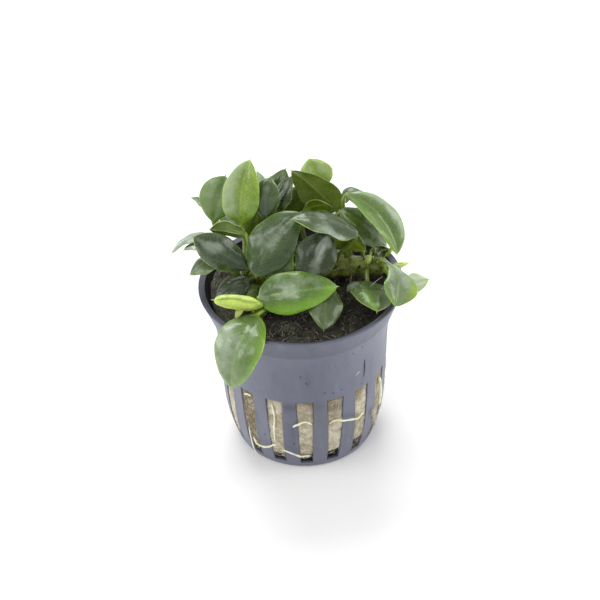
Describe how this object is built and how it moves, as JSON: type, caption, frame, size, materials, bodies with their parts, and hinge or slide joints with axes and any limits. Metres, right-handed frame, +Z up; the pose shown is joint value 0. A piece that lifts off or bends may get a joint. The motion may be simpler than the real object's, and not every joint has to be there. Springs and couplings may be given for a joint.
{
  "type": "potted petite anubias",
  "caption": "Small creeping aquarium plant with many short-stalked oval leaves, rooted in a rock wool plug inside a tapered slotted net pot.",
  "frame": {"origin": "centre of the flat underside of the pot's floor, on the pot's axis", "axes": "+Z up along the pot's axis; -Y is the side that the picture shows; +X is to its right"},
  "size_m": [0.068, 0.0586, 0.0841],
  "materials": {
    "pot_plastic": "smooth grey-violet moulded plastic, satin",
    "rock_wool": "matt fibrous rock wool, tan where it shows in the slots and nearly black on top",
    "rhizome": "olive-brown stem, slightly glossy",
    "leaf_mature": "wet glossy dark green with a paler margin and midrib",
    "leaf_dark": "wet glossy very dark green",
    "leaf_light": "wet glossy mid green with a yellow-green margin",
    "leaf_bright": "wet glossy bright green",
    "leaf_young": "smooth yellow-green young leaf",
    "root": "cream to yellow-green root, satin"
  },
  "bodies": {
    "root": {"net_pot": "pot_plastic", "rock_wool": "rock_wool", "rhizome": "rhizome", "rhizome_side_shoot": "rhizome", "leaf_upright_bright": "leaf_bright", "leaf_back_left": "leaf_mature", "leaf_far_back_left": "leaf_mature", "leaf_behind_bright": "leaf_mature", "leaf_behind_stalks": "leaf_dark", "leaf_left_underside": "leaf_bright", "leaf_left_glossy": "leaf_mature", "leaf_far_left": "leaf_mature", "leaf_far_left_small": "leaf_mature", "leaf_left_low": "leaf_mature", "leaf_centre_large": "leaf_mature", "leaf_centre_right": "leaf_mature", "leaf_centre_under": "leaf_mature", "leaf_right_under": "leaf_mature", "leaf_right_large": "leaf_light", "leaf_back_centre_right": "leaf_mature", "leaf_back_centre_low": "leaf_mature", "leaf_top_bright": "leaf_bright", "leaf_top_centre_dark": "leaf_mature", "leaf_top_centre": "leaf_mature", "leaf_top_back": "leaf_mature", "leaf_shaded": "leaf_dark", "leaf_centre_dark": "leaf_dark", "leaf_front_bright": "leaf_light", "leaf_front_hanging": "leaf_light", "leaf_left_shaded": "leaf_dark", "leaf_left_shaded_low": "leaf_dark", "leaf_under_centre": "leaf_light", "leaf_front_small": "leaf_mature", "leaf_front_right": "leaf_mature", "leaf_right_pale": "leaf_light", "leaf_far_right": "leaf_light", "leaf_right_edge_on": "leaf_mature", "leaf_back_right": "leaf_mature", "leaf_rear_left": "leaf_mature", "leaf_rear_centre": "leaf_mature", "leaf_rear_right": "leaf_mature", "leaf_rear_far_right": "leaf_mature", "leaf_young_rolled": "leaf_young", "leaf_spear_right": "leaf_young", "leaf_stub": "leaf_young", "leaf_spear_back": "leaf_young", "root_front": "root", "root_front_right": "root", "root_left_upright": "root", "root_left_high": "root", "root_left_low": "root", "root_left_hair": "root", "root_front_low": "root", "root_right": "root"}
  },
  "joints": []
}
